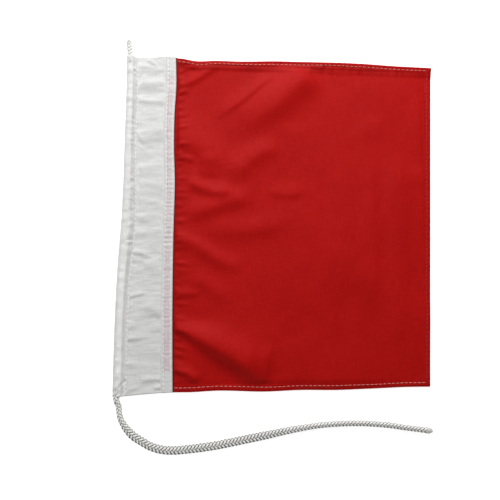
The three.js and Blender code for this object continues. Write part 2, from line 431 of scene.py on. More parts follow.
def braided_yarn():
    """Near-white rope yarn, mixed to near-black painted shade where the braid says that a strand lies
    deep or in shade.
    """
    n = Nodes("braided yarn", (0.74, 0.735, 0.68), 0.8)
    place = n.attribute("cloth").outputs["Vector"]
    painted_shade_and_tip_tone = n.attribute("painted_shade_and_tip_tone").outputs["Fac"]
    fibres = n.noise(place, 1.0, (900, 7000, 1), 3.0, 0.6)
    patches = n.noise(place, 1.0, (220, 900, 1), 2.0)
    top = n.mix(n.span(fibres, 0.35, 0.65), (0.86, 0.855, 0.825), (0.97, 0.965, 0.94))
    # low is the near-black painted shade colour of the yarn
    low = n.mix(n.span(patches, 0.35, 0.65), (0.04, 0.038, 0.032), (0.14, 0.134, 0.115))
    colour = n.mix(painted_shade_and_tip_tone, top, low)
    return n.finish(colour, n.bump(fibres, 0.00015, 0.8), sheen=0.2)


def sewing_thread(name, dark, light):
    """Twisted sewing thread: slanting plies along each stitch."""
    n = Nodes(name, light, 0.6)
    ply = n.plies(9000.0)
    return n.finish(n.mix(ply, dark, light), n.bump(ply, 0.00005, 0.6), sheen=0.1)


def waxed_twine():
    """Off-white waxed whipping twine."""
    n = Nodes("waxed twine", (0.78, 0.77, 0.71), 0.5)
    ply = n.plies(7000.0)
    return n.finish(n.mix(ply, (0.66, 0.65, 0.59), (0.86, 0.85, 0.80)), n.bump(ply, 0.00006, 0.6))


def pale_floor():
    """A bright pale surface with a trace of its own glow, so that it stays nearly white."""
    n = Nodes("pale floor", (0.93, 0.93, 0.93), 0.9)
    n.shader.inputs["Emission Color"].default_value = (1, 1, 1, 1)
    n.shader.inputs["Emission Strength"].default_value = 0.62
    place = n.add("ShaderNodeTexCoord").outputs["Object"]
    return n.finish(n.mix(n.noise(place, 3.0), (0.92, 0.92, 0.92), (0.94, 0.94, 0.94)))


# ---------------------------------------------------------------- camera, floor and light

def place_camera():
    """Nearly overhead, leaning a little from the lower left."""
    target = Vector((START + [68.1, 123.9, 0.0]) * MM)
    azimuth, elevation, roll = np.radians([-34.0, 81.0, 34.46])
    distance = 0.6213
    turn = Matrix.Rotation(azimuth, 4, "Z")
    tip = Matrix.Rotation(np.pi / 2 - elevation, 4, "X")
    back = turn @ tip @ Vector((0, 0, distance))
    data = bpy.data.cameras.new("camera")
    data.lens = 50
    data.sensor_width = 36
    data.clip_start = 0.01
    camera = bpy.data.objects.new("camera", data)
    camera.matrix_world = (Matrix.Translation(target + back) @ turn @ tip
                           @ Matrix.Rotation(roll, 4, "Z"))
    bpy.context.collection.objects.link(camera)
    bpy.context.scene.camera = camera


def soft_box(name, place, size, power):
    """A square soft light that faces the middle of the flag."""
    data = bpy.data.lights.new(name, "AREA")
    data.size = size
    data.energy = power
    light = bpy.data.objects.new(name, data)
    light.location = Vector(place)
    light.rotation_euler = (-Vector(place)).to_track_quat("-Z", "Y").to_euler()
    bpy.context.collection.objects.link(light)


def light_the_studio():
    """Even white surroundings and three soft lights: a low one beyond the flag's upper edge,
    which picks out the folds, and two high ones that fill."""
    scene = bpy.context.scene
    scene.view_settings.view_transform = "Standard"
    world = bpy.data.worlds.new("studio")
    world.use_nodes = True
    background = world.node_tree.nodes["Background"]
    background.inputs["Color"].default_value = (1, 1, 1, 1)
    background.inputs["Strength"].default_value = 0.28
    scene.world = world
    soft_box("low key from the top", (-0.03, 0.88, 0.60), 0.35, 10.4)
    soft_box("high fill from the left", (-0.80, 0.10, 0.95), 0.50, 2.2)
    soft_box("high glow over the top", (0.10, 0.75, 1.30), 0.60, 1.2)


def lay_floor():
    """A wide square just under the flag."""
    side = 3.0
    corners = np.array([[-side, -side, 0], [side, -side, 0], [side, side, 0], [-side, side, 0]])
    mesh = bpy.data.meshes.new("floor")
    mesh.from_pydata(corners.tolist(), [], [(0, 1, 2, 3)])
    mesh.materials.append(pale_floor())
    floor = bpy.data.objects.new("floor", mesh)
    floor.location.z = -0.0002
    bpy.context.collection.objects.link(floor)


# ---------------------------------------------------------------- the laid-out outline

def outer_side(y):
    """The sleeve's outer side, as x at each height."""
    return through(y, [0, 20, 80, 115, 150, 180, 230, 265, 300],
                   [-49.9, -50.0, -49.5, -48.4, -46.4, -45.6, -45.2, -44.8, -45.2])


def seam_side(y):
    """Where the red cloth leaves the canvas, as x at each height."""
    return through(y, [0, 40, 100, 150, 185, 215, 245, 275, 300],
                   [0.8, 0.0, -0.7, -0.6, -0.2, -1.5, -1.5, -0.3, -1.1])


def fly_side(y):
    """The fly edge, as x at each height."""
    return FLY - 4.4 + 9.7 * y / HOIST


def top_side(x):
    """The upper edge, as y across the flag."""
    return through(x, [-48, -24, -1, 8, 17, 35, 58, 96, 120, 176, 200, 239],
                   [299.4, 300, 301, 298.6, 297.2, 298.0, 298.2, 299.8, 300.4, 300.6, 299.7,
                    299.1])


def bottom_side(x):
    """The lower edge, as y across the flag."""
    return through(x, [-48, -43, -24, 0, 16, 39, 82, 112, 144, 176, 209, 230],
                   [-4.2, -4.1, -2.4, -0.9, -0.8, 0.4, -0.5, 0.7, 0.6, 1.7, 3.0, 3.2])


def sleeve_bend(x, y):
    """How far the sleeve's stitching strays towards the rope: all of it at the stitches,
    fading to nothing at the rope and at the tucked edge."""
    stray = through(y, [0, 25, 61, 97, 124, 142, 187, 232, 300],
                    [-2.2, -2.2, -2.2, -1.7, -0.5, -0.1, -1.2, -1.9, -2.2])
    return stray * ease((x + HEADING - 5.5) / 5.0) * ease((-TUCK - x) / 20)


def laid(x, y):
    """Flat cut coordinates to where the cloth lies: each row is spread between the sides,
    then each column between the lower and upper edges."""
    heading = seam_side(y) + (seam_side(y) - outer_side(y)) / HEADING * x + sleeve_bend(x, y)
    fly = seam_side(y) + (fly_side(y) - seam_side(y)) / FLY * x
    across = np.where(x < 0, heading, fly)
    low, high = bottom_side(across), top_side(across)
    return across, low + (high - low) * y / HOIST


# ---------------------------------------------------------------- red cloth

# Each fold: points of its crest, height, how far it falls away to its left and right, the
# shares of its length over which it fades in and out, and how narrow it starts
LONG_FOLDS = [
    ([(-2, 272), (12, 277), (26, 286), (40, 296)], 1.4, 5.0, 3.4, 0.02, 0.30),
    ([(-1, 266), (14, 271)], 0.8, 3.0, 2.6, 0.05, 0.50),
    ([(9, 294), (27, 289)], 0.6, 3.0, 2.6, 0.30, 0.40),
    ([(33, 241), (51, 254), (69, 269), (84, 282), (95, 287)], 1.0, 7.0, 2.4, 0.35, 0.30),
    ([(42, 220), (69, 245), (87, 257), (103, 272), (120, 290), (127, 298)], 4.9, 20.0, 14.5, 0.55, 0.18),
    ([(26, 186), (27, 214)], 1.1, 5.0, 9.0, 0.30, 0.40),
    ([(54, 180), (60, 198), (74, 211), (99, 220)], 2.4, 11.0, 8.0, 0.35, 0.35),
    ([(-3, 221), (12, 221), (25, 216), (34, 205), (36, 187)], 2.4, 18.0, 10.0, 0.10, 0.40),
    ([(9, 188), (22, 180), (34, 176), (56, 178)], 2.1, 7.0, 4.6, 0.25, 0.35),
    ([(80, 179), (100, 175), (122, 178)], 0.9, 8.0, 3.8, 0.35, 0.35),
    ([(-1, 209), (22, 203)], 1.0, 3.2, 2.8, 0.05, 0.45),
    ([(6, 153), (31, 161), (52, 168), (75, 173)], 2.1, 10.0, 7.2, 0.25, 0.30),
    ([(20, 143), (56, 141), (86, 146), (112, 155)], 1.3, 10.0, 8.5, 0.35, 0.35),
    ([(-1, 133), (15, 130), (30, 121), (45, 112), (66, 107)], 1.9, 6.5, 6.5, 0.04, 0.40),
    ([(12, 99), (26, 94), (42, 84), (54, 76)], 1.2, 7.0, 6.5, 0.30, 0.45),
    ([(-1, 84), (27, 85)], 1.3, 4.0, 3.6, 0.05, 0.45),
    ([(-2, 57), (20, 47.5), (43, 35.5), (63, 23), (84, 6)], 7.4, 16.0, 9.4, 0.03, 0.30, 0.38),
    ([(-1, 20), (14, 15), (25, 7)], 1.8, 4.5, 3.2, 0.05, 0.30),
    ([(79, 6), (82, 26), (88, 44)], 1.2, 6.0, 4.5, 0.10, 0.45),
    ([(206, 222), (203, 130), (200, 31)], 1.4, 11.0, 14.0, 0.20, 0.20),
    ([(179, 215), (179, 60)], 1.1, 7.0, 9.0, 0.25, 0.25),
    ([(142, 100), (142, 8)], 0.35, 5.0, 5.0, 0.30, 0.20),
    ([(209, 196), (240, 196)], 0.5, 6.0, 9.0, 0.30, 0.02),
    ([(158, 101), (177, 101)], 0.6, 9.0, 9.0, 0.50, 0.50),
    ([(165, 238), (195, 236)], 0.8, 10.0, 10.0, 0.40, 0.40),
    ([(84, 236), (124, 232)], 0.5, 7.0, 9.0, 0.40, 0.40),
]


def seam_puckers(x, y):
    """Short wrinkles that the seam's stitches draw into the red cloth: small folds that leave
    the seam every 4.5 to 8.5 mm, slanting up in the upper half and down in the lower half."""
    rng = np.random.default_rng(11)
    height = np.zeros_like(x)
    place = 9.0
    while place < HOIST - 8:
        reach = rng.uniform(7, 20)
        drift = (place / HOIST - 0.45) * reach * 0.7 + rng.uniform(-1.5, 1.5)
        rise = rng.uniform(0.4, 1.05)
        near = (np.abs(y - place) < 16) & (x < reach + 8)
        if near.any():
            height[near] += fold(x[near], y[near], [(-2, place), (reach, place + drift)],
                                 rise, 2.0, 1.6, 0.05, 0.65)
        place += rng.uniform(4.5, 8.5)
    return height


def top_hem_puckers(x, y):
    """Fine upright wrinkles under the upper hem, strongest past the middle of the fly."""
    below = HOIST - HEM_WIDTH - y
    strength = 0.05 + 0.45 * ease((x - 100) / 40) * ease((232 - x) / 20)
    wave = soft_noise(x, y, 2.8, 60, 5) + 0.5 * soft_noise(x, y, 1.7, 40, 6)
    return strength * wave * np.exp(-np.clip(below, 0, None) / 5.0) * ease((below + 4) / 4)


def fly_height(x, y):
    """Height of the red cloth's middle above the surface, at laid-out x and y: folds and slow
    swells that fade out towards the edges, the hems' extra layer with a groove along its
    stitches, and the upper edge standing off the surface. By the seam the cloth dips and then
    keeps to its height between the canvas layers."""
    edge = np.minimum.reduce([HOIST - y, y, FLY + 2 - x])
    puckers = seam_puckers(x, y)
    relief = sum(fold(x, y, *shape) for shape in LONG_FOLDS) + puckers
    swell = 0.9 * soft_noise(x, y, 52, 60, 21) + 0.45 * soft_noise(x, y, 23, 31, 22)
    swell += 0.16 * soft_noise(x, y, 9, 12, 23)
    relief += (swell + 1.2) * ease(x / 14)
    height = 0.9 + relief * ease((edge - 1.5) / 9) + top_hem_puckers(x, y)
    row = np.abs(edge - HEM_ROW + TOP_ROW_SHIFT * (HOIST - y < 8))
    height += 0.42 * ease((HEM_WIDTH + 0.9 - edge) / 1.2) - 0.22 * np.exp(-(row / 0.7) ** 2)
    lifted = 2.2 + 1.1 * ease((115 - x) / 30)
    height += lifted * np.clip(1 - (HOIST - y) / 10.5, 0, 1) ** 0.75 * ease(x / 10)
    height += 0.16 * soft_noise(x, y, 1.9, 1.9, 31) * np.exp(-((edge - 2.2) / 2.4) ** 2)
    loose = ease((x - 0.5) / 4.0)
    dip = 0.75 * np.exp(-((x - 0.9) / 0.9) ** 2)
    by_seam = IN_SEAM + 0.25 * puckers * (x > -1)
    return by_seam * (1 - loose) + height * loose - dip


def painted_crease_shade(x, y):
    """How much painted shade darkens the red cloth, at flat x and y: exp(-(d / width)^2) of
    the distance d to the seam, once narrow and once wide, and to a blotchy line under the
    upper hem."""
    shade = 0.80 * np.exp(-((x - 0.6) / 0.7) ** 2) + 0.13 * np.exp(-(x / 9.0) ** 2)
    blotches = 0.7 + 0.6 * soft_noise(x, y, 6.0, 6.0, 24)
    return shade + 0.22 * blotches * np.exp(-((HOIST - 6.4 - y) / 2.6) ** 2)


def red_cloth(finish):
    """The fly as one sheet, from the edge tucked into the heading to the folded fly edge. Its
    grid is finer by the seam, where the wrinkles are, and its edges roll down a little."""
    x = np.r_[np.linspace(-TUCK + 0.5, -0.6, 7), even_steps(0.2, 24, 0.85),
              even_steps(25.4, FLY - 7, 1.55), even_steps(FLY - 6.4, FLY, 0.75)]
    y = np.r_[even_steps(0, 7, 0.8), even_steps(8.3, HOIST - 8.3, 1.4),
              even_steps(HOIST - 7, HOIST, 0.8)]
    flat_x, flat_y = np.meshgrid(x, y, indexing="ij")
    across, up = laid(flat_x, flat_y)
    middle = np.stack([across, up, fly_height(across, up)], -1)
    edge = np.minimum.reduce([flat_y, HOIST - flat_y, FLY - flat_x])
    roll = np.where(HOIST - flat_y < 2.5, 0.15, 0.80)
    middle[..., 2] -= roll * (1 - ease(edge / 2.0)) * ease(flat_x / 2)
    # painted shade along the seam and under the upper hem, read by the red bunting
    painted_shade = painted_crease_shade(flat_x, flat_y).ravel()
    piece = make_piece("fly_cloth", closed_sheet(middle, CLOTH), finish,
                       {"cloth": both_skins(flat_x, flat_y), "painted_shade": np.tile(painted_shade, 2)})
    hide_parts("fly_panel", "fly_tuck")
    bend_at_seam(piece)


def hem_strip(name, finish, along, inward, cloth_at):
    """Cloth turned under an edge: a strip that starts under the edge and lies flat beneath
    the sheet, HEM_WIDTH wide. `cloth_at` gives flat x and y at a place along and inward."""
    a, b = np.meshgrid(along, inward, indexing="ij")
    flat_x, flat_y = cloth_at(a, b)
    across, up = laid(flat_x, flat_y)
    below = fly_height(across, up) - CLOTH - 0.12 + 0.05 * soft_noise(across, up, 5, 5, 41)
    below -= 0.25 * (1 - ease(b / 0.8))
    middle = np.stack([across, up, np.maximum(below, CLOTH / 2)], -1)
    if surface_normals(middle)[..., 2].mean() < 0:
        middle, flat_x, flat_y = middle[:, ::-1], flat_x[:, ::-1], flat_y[:, ::-1]
    shape = closed_sheet(middle, CLOTH * 0.9)
    return make_piece(name, shape, finish, {"cloth": both_skins(flat_x, flat_y)})


def bend_at_seam(piece):
    """Bakes the piece's placement into its mesh points."""
    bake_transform(piece)


def hems(finish):
    """The cloth turned under along the upper, lower and fly edges."""
    across = even_steps(1.0, FLY - 0.4, 1.6)
    inward = np.r_[0.25, even_steps(0.7, HEM_WIDTH, 0.72)]
    for name, place in (("top_hem_turn", lambda a, b: (a, HOIST - b)),
                        ("bottom_hem_turn", lambda a, b: (a, b))):
        bend_at_seam(hem_strip(name, finish, across, inward, place))
    upward = even_steps(HEM_WIDTH + 0.6, HOIST - HEM_WIDTH - 0.6, 1.6)
    fly_turn = hem_strip("fly_hem_turn", finish, upward, inward, lambda a, b: (FLY - b, a))
    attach(fly_turn, "fly")


# ---------------------------------------------------------------- canvas heading

# Wrinkles across the canvas: crest points, height, how far they fall away to their left and
# right, and the shares of their length over which they fade in and out
CANVAS_FOLDS = [
    ([(-17, 5.8), (-9, 4.9), (-2, 4.3)], 0.75, 4.5, 1.2, 0.35, 0.05),
    ([(-35, 292), (-23, 290), (-10, 286)], 0.5, 2.5, 2.5, 0.10, 0.30),
    ([(-26, 298), (-20, 294), (-16, 290)], 0.7, 1.6, 1.2, 0.20, 0.40),
    ([(-33, 279), (-21, 276), (-10, 277)], 1.3, 4.0, 5.0, 0.15, 0.20),
    ([(-34, 260), (-20, 258), (-9, 259)], 0.8, 2.5, 2.2, 0.10, 0.10),
    ([(-33, 249), (-12, 250)], 0.5, 3.0, 3.0, 0.30, 0.30),
    ([(-34, 226), (-27, 230), (-20, 232), (-9, 233)], 1.5, 3.5, 8.0, 0.10, 0.10),
    ([(-33, 218), (-25, 213)], 0.6, 1.8, 1.8, 0.10, 0.50),
    ([(-33, 198), (-21, 199), (-9, 201)], 1.1, 5.0, 7.0, 0.15, 0.15),
    ([(-33, 182), (-21, 183), (-8, 182)], 1.0, 4.0, 5.0, 0.15, 0.15),
    ([(-34, 168), (-20, 167), (-10, 166)], 0.9, 4.0, 4.0, 0.15, 0.30),
    ([(-34, 152), (-20, 154), (-9, 151)], 0.6, 3.5, 4.0, 0.20, 0.30),
    ([(-36, 139), (-22, 138)], 0.9, 4.0, 3.0, 0.10, 0.40),
    ([(-36, 123), (-27, 121), (-18, 118)], 1.1, 2.8, 1.6, 0.10, 0.40),
    ([(-27, 113), (-10, 111)], 0.8, 4.0, 4.0, 0.35, 0.20),
    ([(-38, 83), (-28, 85), (-19, 87)], 1.15, 2.6, 1.6, 0.10, 0.40),
    ([(-39, 78), (-29, 75)], 0.8, 2.0, 1.4, 0.10, 0.50),
    ([(-23, 80), (-15, 72), (-7, 67)], 1.3, 5.0, 4.5, 0.35, 0.10),
    ([(-19, 59), (-7, 57)], 0.6, 2.5, 2.5, 0.40, 0.10),
    ([(-20, 54), (-8, 54)], 0.6, 3.0, 2.0, 0.40, 0.10),
    ([(-38, 60), (-25, 58)], 0.6, 3.0, 3.0, 0.10, 0.50),
    ([(-38, 49), (-30, 48), (-21, 47)], 0.8, 2.4, 1.5, 0.10, 0.50),
    ([(-38, 29), (-24, 24)], 1.2, 3.5, 3.0, 0.10, 0.50),
    ([(-26, 12), (-17, 12), (-6, 11)], 1.0, 3.0, 1.7, 0.30, 0.20),
    ([(-15, 5), (-3, 3)], 1.0, 2.0, 1.4, 0.30, 0.20),
    ([(-37, 4), (-22, 7)], 0.5, 2.0, 2.0, 0.20, 0.40),
]
# Heights up the hoist where the sleeve's canvas is pulled taut from the rope to its stitches
TAUT = [288, 276, 270, 261, 254, 247, 240, 234, 229, 224, 219, 207, 197, 188, 179, 170, 162, 154,
        146, 138, 131, 125, 117, 108, 100, 88, 77, 66, 55, 41, 31, 20, 9]
SLACK_SAG = 1.55         # how far from straight the slack hangs: 1 is straight
ACROSS_SLACK = 14        # points across the slack between the rope and its stitches


def canvas_relief(x, y):
    """Height that crumples add to the front of the canvas, at flat x and y."""
    relief = sum(fold(x, y, *shape) for shape in CANVAS_FOLDS)
    relief += 0.55 * (soft_noise(x, y, 15, 7, 51) + 0.5 * soft_noise(x, y, 7, 3.2, 52)) + 0.4
    row = (x - SLEEVE_ROW) / 3.5
    pulled = soft_noise(x, y, 9, 2.3, 53) * np.exp(-np.clip(row, 0, None)) * ease(row + 0.3)
    inner = (-TUCK - 1.0 - x) / 3.0
    fading = np.exp(-np.clip(inner, 0, None)) * ease(inner + 0.2)
    pulled += 0.7 * soft_noise(x, y, 9, 2.0, 54) * fading
    relief += 0.50 * pulled
    flat_ends = ease((x - SLEEVE_ROW - 0.4) / 1.2) * ease((-TUCK - 0.6 - x) / 1.4)
    welts = 0.26 * np.exp(-((x - SLEEVE_ROW - 0.2) / 0.75) ** 2)
    welts += 0.20 * np.exp(-((x + TUCK + 0.5) / 0.65) ** 2)
    return 0.72 * relief * flat_ends + welts * (1 + 0.6 * soft_noise(x, y, 9, 2.4, 55))


def tuck_ripples(x, y):
    """Ripples across the strip where the red cloth is tucked in, every 3 to 4 mm."""
    within = ease((x + TUCK + 0.4) / 1.2) * ease((0.2 - x) / 1.4)
    drift = 1.1 * soft_noise(y, 0 * y, 11, 1, 61)
    wave = np.sin(2 * np.pi * (y / 3.5 + drift)) * (0.7 + 0.5 * soft_noise(x, y, 9, 9, 62))
    wave += 0.6 * soft_noise(x, y, 5, 1.3, 63)
    ends = ease((y - END_FOLD) / 2) * ease((HOIST - END_FOLD - y) / 2)
    return 0.19 * wave * within * (0.35 + 0.65 * ends)


def heading_line():
    """The canvas's middle line in section: along the back, round the rope, down to the row
    of stitches, across the front, up over the tucked cloth, and turned under at its edge.
    Gives x, z, how far each point is loose to crumple, its place t down the slack between the
    rope and the stitches (0 elsewhere), and the numbers of the first points round the rope,
    in the slack, on the front and in the turned edge."""
    low, radius = CANVAS / 2, ROPE_RADIUS + CANVAS / 2 + 0.05
    front, top = 1.15, 2.0
    back = [(x, low) for x in np.linspace(-0.3, ROPE_X + 0.4, 16)]
    turn = np.radians(np.linspace(270, 38, 34))
    sleeve = [(ROPE_X + radius * np.cos(a), low + radius + radius * np.sin(a)) for a in turn]
    x_last, z_last = sleeve[-1]
    t = np.linspace(0, 1, ACROSS_SLACK + 1)[1:]
    slack = [(x_last + (SLEEVE_ROW - 0.5 - x_last) * u, front + (z_last - front) * (1 - u))
             for u in t]
    flat = [(x, front) for x in np.linspace(SLEEVE_ROW - 0.1, -TUCK - 1.8, 54)]
    step = [(x, front + (top - front) * ease((x + TUCK + 1.6) / 1.4))
            for x in np.linspace(-TUCK - 1.4, -TUCK + 0.2, 6)]
    edge = [(x, top) for x in np.linspace(-TUCK + 0.7, -0.5, 15)]
    curl = [(-0.05, top - 0.05), (0.20, top - 0.22), (0.12, top - 0.40), (-0.2, top - 0.48),
            (-3.5, top - 0.5)]
    line = np.array(back + sleeve + slack + flat + step + edge + curl)
    slack_first = len(back) + len(sleeve)
    loose = np.r_[np.zeros(slack_first), t ** 3, np.ones(len(flat) + len(step) + len(edge)),
                  np.linspace(0.8, 0.2, len(curl))]
    down = np.zeros(len(line))
    down[slack_first:slack_first + len(t)] = t
    return line, loose, down, (len(back), slack_first, slack_first + len(t), len(line) - len(curl))


def taut_ridges(y, down):
    """How taut the slack is, from 0 to 1: a ridge exp(-((y - place) / width)^2) at each height
    of TAUT, with its own width, pull and lean down the slack."""
    taut = np.zeros_like(y)
    rng = np.random.default_rng(81)
    for place in TAUT:
        lean, width, pull = rng.uniform(-1.2, 1.2), rng.uniform(0.9, 2.1), rng.uniform(0.45, 1.0)
        taut = np.maximum(taut, pull * np.exp(-((y - place - lean * down) / width) ** 2))
    return taut


def upper_sleeve(y):
    """0 low on the hoist and 1 from its middle up, where the sleeve has more slack."""
    return ease((y - 95) / 45)


def over_the_rope(line, crest, front, x, y, taut):
    """Height of the canvas from the rope's crest to the stitches. It falls from the crest to
    the front as a smooth step of the share s of the way across, less a sine sag where it isn't
    taut and less a groove that slants up from the lower mouth."""
    s = np.clip((line[:, :1] - ROPE_X) / (SLEEVE_ROW - 0.5 - ROPE_X), 0, 1)
    upper = upper_sleeve(y)
    height = front + (line[crest, 1] - front) * (1 - ease((s - 0.52) / (0.48 + 0.14 * upper)))
    sag = (0.2 + 0.7 * upper) * (1 + 0.8 * soft_noise(y, x, 2.6, 9.0, 74))
    height -= (1 - taut) * sag * np.sin(np.pi * np.clip((s - 0.4) / 0.6, 0, 1))
    return height - 1.1 * np.exp(-((y - 6 - 6.6 * s) / 1.7) ** 2) * ease(s / 0.25)


def sleeve_puff(x, y, taut):
    """How far the canvas stands off round the rope: soft bumps 4 mm and 2 mm apart and the
    ends of the taut ridges, less gathers 5.5 mm apart that fade up from the lower mouth."""
    puff = 0.25 * taut + 0.40 * soft_noise(y, x, 4.2, 6.0, 71) + 0.15 * soft_noise(y, x, 1.9, 4.0, 72)
    gathers = 0.45 * np.exp(-(y / 7.0) ** 2) * (1 + np.sin(2 * np.pi * (y - x) / 5.5))
    return np.clip(puff + 0.15, 0, None) - gathers


def red_showing_and_painted_shadow(x, y):
    """How much red shows through the canvas over the tucked cloth, between the turned-in ends:
    less on the crests of the ripples; the same pink also lays a painted shadow of the tucked
    edge along the stitches high on the hoist."""
    across = ease((x + TUCK + 0.1) / 0.9) * ease((-1.4 - x) / 0.9)
    upward = ease((y - END_FOLD) / 1.5) * ease((HOIST - END_FOLD - y) / 1.5)
    # painted shadow of the tucked cloth's edge, high on the hoist
    painted_edge_shadow = 0.5 * np.exp(-((x + TUCK - 1.6) / 0.9) ** 2) * ease((y - 170) / 40)
    amount = 1.0 - 0.3 * ease((y - 40) / 110) - 1.5 * tuck_ripples(x, y) + painted_edge_shadow
    return across * upward * amount


def painted_sleeve_light(x, y, taut):
    """How much painted highlight makes the canvas paler over the rope, at line x and flat y: it
    comes in over 3 mm from the outer side and goes out before the stitches, later where it is taut."""
    upper = upper_sleeve(y)
    amount = 0.84 - 0.42 * upper + 0.24 * taut * upper
    coming_in = ease((x - x.min() - 0.9) / 3.0)
    return amount * coming_in * ease((SLEEVE_ROW + 0.4 - x) / (3.0 - 1.4 * taut))


def canvas_heading(finish):
    """The heading as one folded sheet of canvas: heading_line swept up the hoist, crumpled on
    its front, full over the rope and drawn in along its stitches. Between its taut ridges the
    slack hangs below a straight line by (1 - t) - (1 - t)^SLACK_SAG of its drop."""
    line, loose, down, (first, slack_first, front_first, _) = heading_line()
    loose, down = loose[:, None], down[:, None]
    y = np.r_[even_steps(0, 20, 0.8), even_steps(21, HOIST - 21, 1.0),
              even_steps(HOIST - 20, HOIST, 0.8)]
    flat_x, flat_y = np.meshgrid(line[:, 0], y, indexing="ij")
    across, up = laid(np.minimum(flat_x, -0.001), flat_y)
    across += np.clip(flat_x, 0, None)
    height = np.repeat(line[:, 1:2], len(y), axis=1)
    relief = canvas_relief(flat_x, flat_y) + tuck_ripples(flat_x, flat_y)
    row = np.minimum(np.abs(flat_x - SLEEVE_ROW - 0.3), np.abs(flat_x + TUCK - 0.9))
    pull = 0.6 + 0.4 * np.cos(2 * np.pi * flat_y / STITCH_PITCH)
    relief -= 0.22 * np.exp(-(row / 0.6) ** 2) * pull
    ends = ease((END_FOLD - np.minimum(flat_y, HOIST - flat_y)) / 5)
    height += loose * (relief + 0.15 * ends)
    taut = taut_ridges(flat_y, down)
    front = line[front_first - 1, 1]
    drop = line[slack_first - 1, 1] - front
    height -= (1 - taut) * drop * ((1 - down) - (1 - down) ** SLACK_SAG) * (down > 0)
    crest = first + np.argmax(line[first:slack_first, 1])
    number = np.arange(len(line))[:, None]
    on_top = (number >= crest) & (number < front_first)
    full = over_the_rope(line, crest, front, flat_x, flat_y, taut)
    height += on_top * ease(flat_y / 14) * (full - height)
    around = np.zeros((len(line), 1))
    around[first:slack_first + 8, 0] = np.sin(np.linspace(0, np.pi, slack_first + 8 - first))
    height += around * sleeve_puff(flat_x, flat_y, taut)
    middle = np.stack([across, up, height], -1)
    length = distance_along(line)
    # red showing through the canvas, plus a painted shadow along the tucked edge
    red_through_and_painted_shadow = red_showing_and_painted_shadow(flat_x, flat_y) * (loose > 0.85)
    over_rope = on_top | (number > first + 8) & (number < slack_first)
    # painted highlight over the rope
    painted_light = over_rope * painted_sleeve_light(line[:, :1], flat_y, taut)
    along = np.repeat(length[:, None], len(y), axis=1)
    piece = make_piece("heading_canvas", closed_sheet(middle, CANVAS * (1 + 0.15 * ends * loose)),
                       finish,
                       {"cloth": both_skins(along, flat_y), "red_through_and_painted_shadow": np.tile(red_through_and_painted_shadow.ravel(), 2),
                        "painted_light": np.tile(painted_light.ravel(), 2)})
    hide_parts("heading")
    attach(piece, "hoist")


def heading_top_height(x, y):
    """Height of the canvas's front skin at flat x and y, for what is sewn on it."""
    line, _, _, (_, _, front_first, curl_first) = heading_line()
    skin = line[front_first:curl_first]
    base = np.interp(x, skin[:, 0], skin[:, 1])
    ends = ease((END_FOLD - np.minimum(y, HOIST - y)) / 5)
    return base + canvas_relief(x, y) + tuck_ripples(x, y) + 0.15 * ends + CANVAS / 2


# ---------------------------------------------------------------- stitches

def stitch_row(places, headings, length, width, lift):
    """A row of stitches. Each is a short thread that arches up from one needle hole and down
    into the next: along it, from t = -1 to 1, it stands lift * (1 - t^4) and thins towards
    its ends. Places are the stitches' middles and headings their level directions."""
    t = np.linspace(-1, 1, 9)
    turn = round_angles(6)
    parts = []
    for place, ahead in zip(places, unit(headings)):
        aside = np.array([-ahead[1], ahead[0], 0])
        middle = place + np.outer(t * length / 2, ahead)
        middle[:, 2] += lift * (1 - t ** 4) - 0.16 * t ** 6
        thick = width / 2 * (1 - 0.45 * t ** 4)
        ring = oval(turn, aside, np.array([0, 0, 0.75]))
        parts.append(closed_tube(middle[:, None] + thick[:, None, None] * ring))
    cloth = np.zeros((len(parts[0][0]), 3))
    rings = len(t) * len(turn)
    cloth[:rings, 0] = np.repeat(t * length / 2, len(turn)) * MM
    cloth[:rings, 1] = np.tile(turn / (2 * np.pi), len(t))
    return gather(parts), np.tile(cloth, (len(parts), 1))


def sew(name, node, finish, flat_points, top_at, body, length=3.1, width=0.6, lift=0.16):
    """Stitches along a line of flat points, evenly spaced, standing on the cloth."""
    flat_x, flat_y = flat_points.T
    across, up = laid(flat_x, flat_y)
    line = np.stack([across, up, top_at(flat_x, flat_y)], -1)
    shape, cloth = stitch_row(line, np.gradient(line, axis=0), length, width, lift)
    piece = make_piece(name, shape, finish, {"cloth": cloth})
    if node:
        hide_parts(node)
    if body == "seam":
        bend_at_seam(piece)
    else:
        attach(piece, body)


def wander(values, amount, seed):
    """Small steady drift, so that a sewn row isn't ruler straight."""
    return amount * soft_noise(values, 0 * values, 23, 1, seed)


def on_canvas(x, y):
    """Where stitches lie on the canvas."""
    return heading_top_height(x, y) - 0.05


def on_fly(x, y):
    """Where stitches lie on the red cloth."""
    return fly_height(*laid(x, y)) + CLOTH / 2


def under_fly(x, y):
    """Where stitches lie under the hems."""
    return fly_height(*laid(x, y)) - 2 * CLOTH - 0.28


def sew_the_heading(thread):
    """Three rows up the hoist, and a finer row across each turned-in end."""
    y = np.arange(3.0, HOIST - 2.0, STITCH_PITCH)
    rows = (("sleeve_stitches", "sleeve_stitching", SLEEVE_ROW + 0.4, 1),
            ("tuck_stitches", "tuck_stitching", -TUCK + 0.9, 2),
            ("seam_stitches", "seam_stitching", -1.0, 3))
    for name, node, x, seed in rows:
        points = np.stack([x + wander(y, 0.25, seed), y], -1)
        sew(name, node, thread, points, on_canvas, "hoist", 3.4, 0.7, 0.22)
    x = np.arange(SLEEVE_ROW + 3, -TUCK - 2.5, 3.4)
    rows = (("heading_top_stitches", "heading_top_stitching", HOIST - 13.0),
            ("heading_bottom_stitches", "heading_bottom_stitching", 13.0))
    for name, node, height in rows:
        points = np.stack([x, height + wander(x, 0.2, 4)], -1)
        sew(name, node, thread, points, on_canvas, "hoist", 2.2, 0.42, 0.06)


